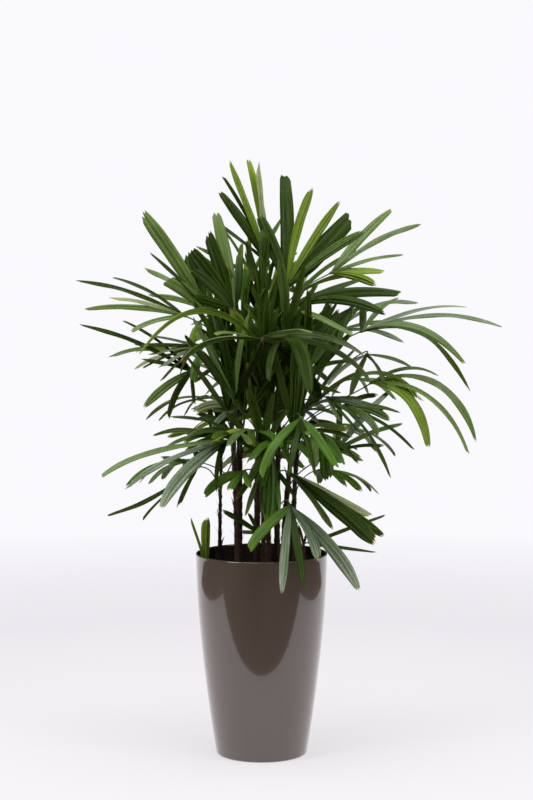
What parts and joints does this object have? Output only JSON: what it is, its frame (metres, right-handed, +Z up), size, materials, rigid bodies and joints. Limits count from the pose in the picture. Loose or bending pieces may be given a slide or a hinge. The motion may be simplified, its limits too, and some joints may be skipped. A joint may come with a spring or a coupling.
{
  "type": "potted lady palm",
  "caption": "Lady palm with a clump of slender brown canes and fan-shaped fronds of long blunt leaflets, standing in a tall glossy round planter.",
  "frame": {"origin": "centre of the planter's flat underside", "axes": "+Z up along the planter's axis, +X to the plant's right and -Y to its front"},
  "size_m": [1.2784, 1.0824, 1.8147],
  "materials": {
    "pot": "glossy taupe",
    "soil": "rough dark potting soil",
    "cane": "matte brown fibre",
    "frond": "satin green leaf",
    "dried_leaf": "matte dry brown"
  },
  "bodies": {
    "root": {"pot": "pot", "soil": "soil", "cane_1": "cane", "cane_2": "cane", "cane_3": "cane", "cane_4": "cane", "cane_5": "cane", "cane_6": "cane", "cane_7": "cane", "cane_8": "cane", "cane_9": "cane", "green_shoot": "frond", "dried_shoot": "dried_leaf", "frond_01": "frond", "frond_02": "frond", "frond_03": "frond", "frond_04": "frond", "frond_05": "frond", "frond_06": "frond", "frond_07": "frond", "frond_08": "frond", "frond_09": "frond", "frond_10": "frond", "frond_11": "frond", "frond_12": "frond", "frond_13": "frond", "frond_14": "frond", "frond_15": "frond", "frond_16": "frond", "frond_17": "frond", "frond_18": "frond", "frond_19": "frond", "frond_20": "frond", "frond_21": "frond", "frond_22": "frond", "frond_23": "frond", "frond_24": "frond", "frond_25": "frond", "frond_26": "frond", "frond_27": "frond", "frond_28": "frond", "frond_29": "frond", "frond_30": "frond", "frond_31": "frond", "frond_32": "frond", "frond_33": "frond", "frond_34": "frond", "frond_35": "frond", "frond_36": "frond", "frond_37": "frond", "frond_38": "frond", "frond_39": "frond", "frond_40": "frond", "frond_41": "frond", "frond_42": "frond", "frond_43": "frond", "frond_44": "frond", "frond_45": "frond", "frond_46": "frond", "frond_47": "frond"}
  },
  "joints": []
}
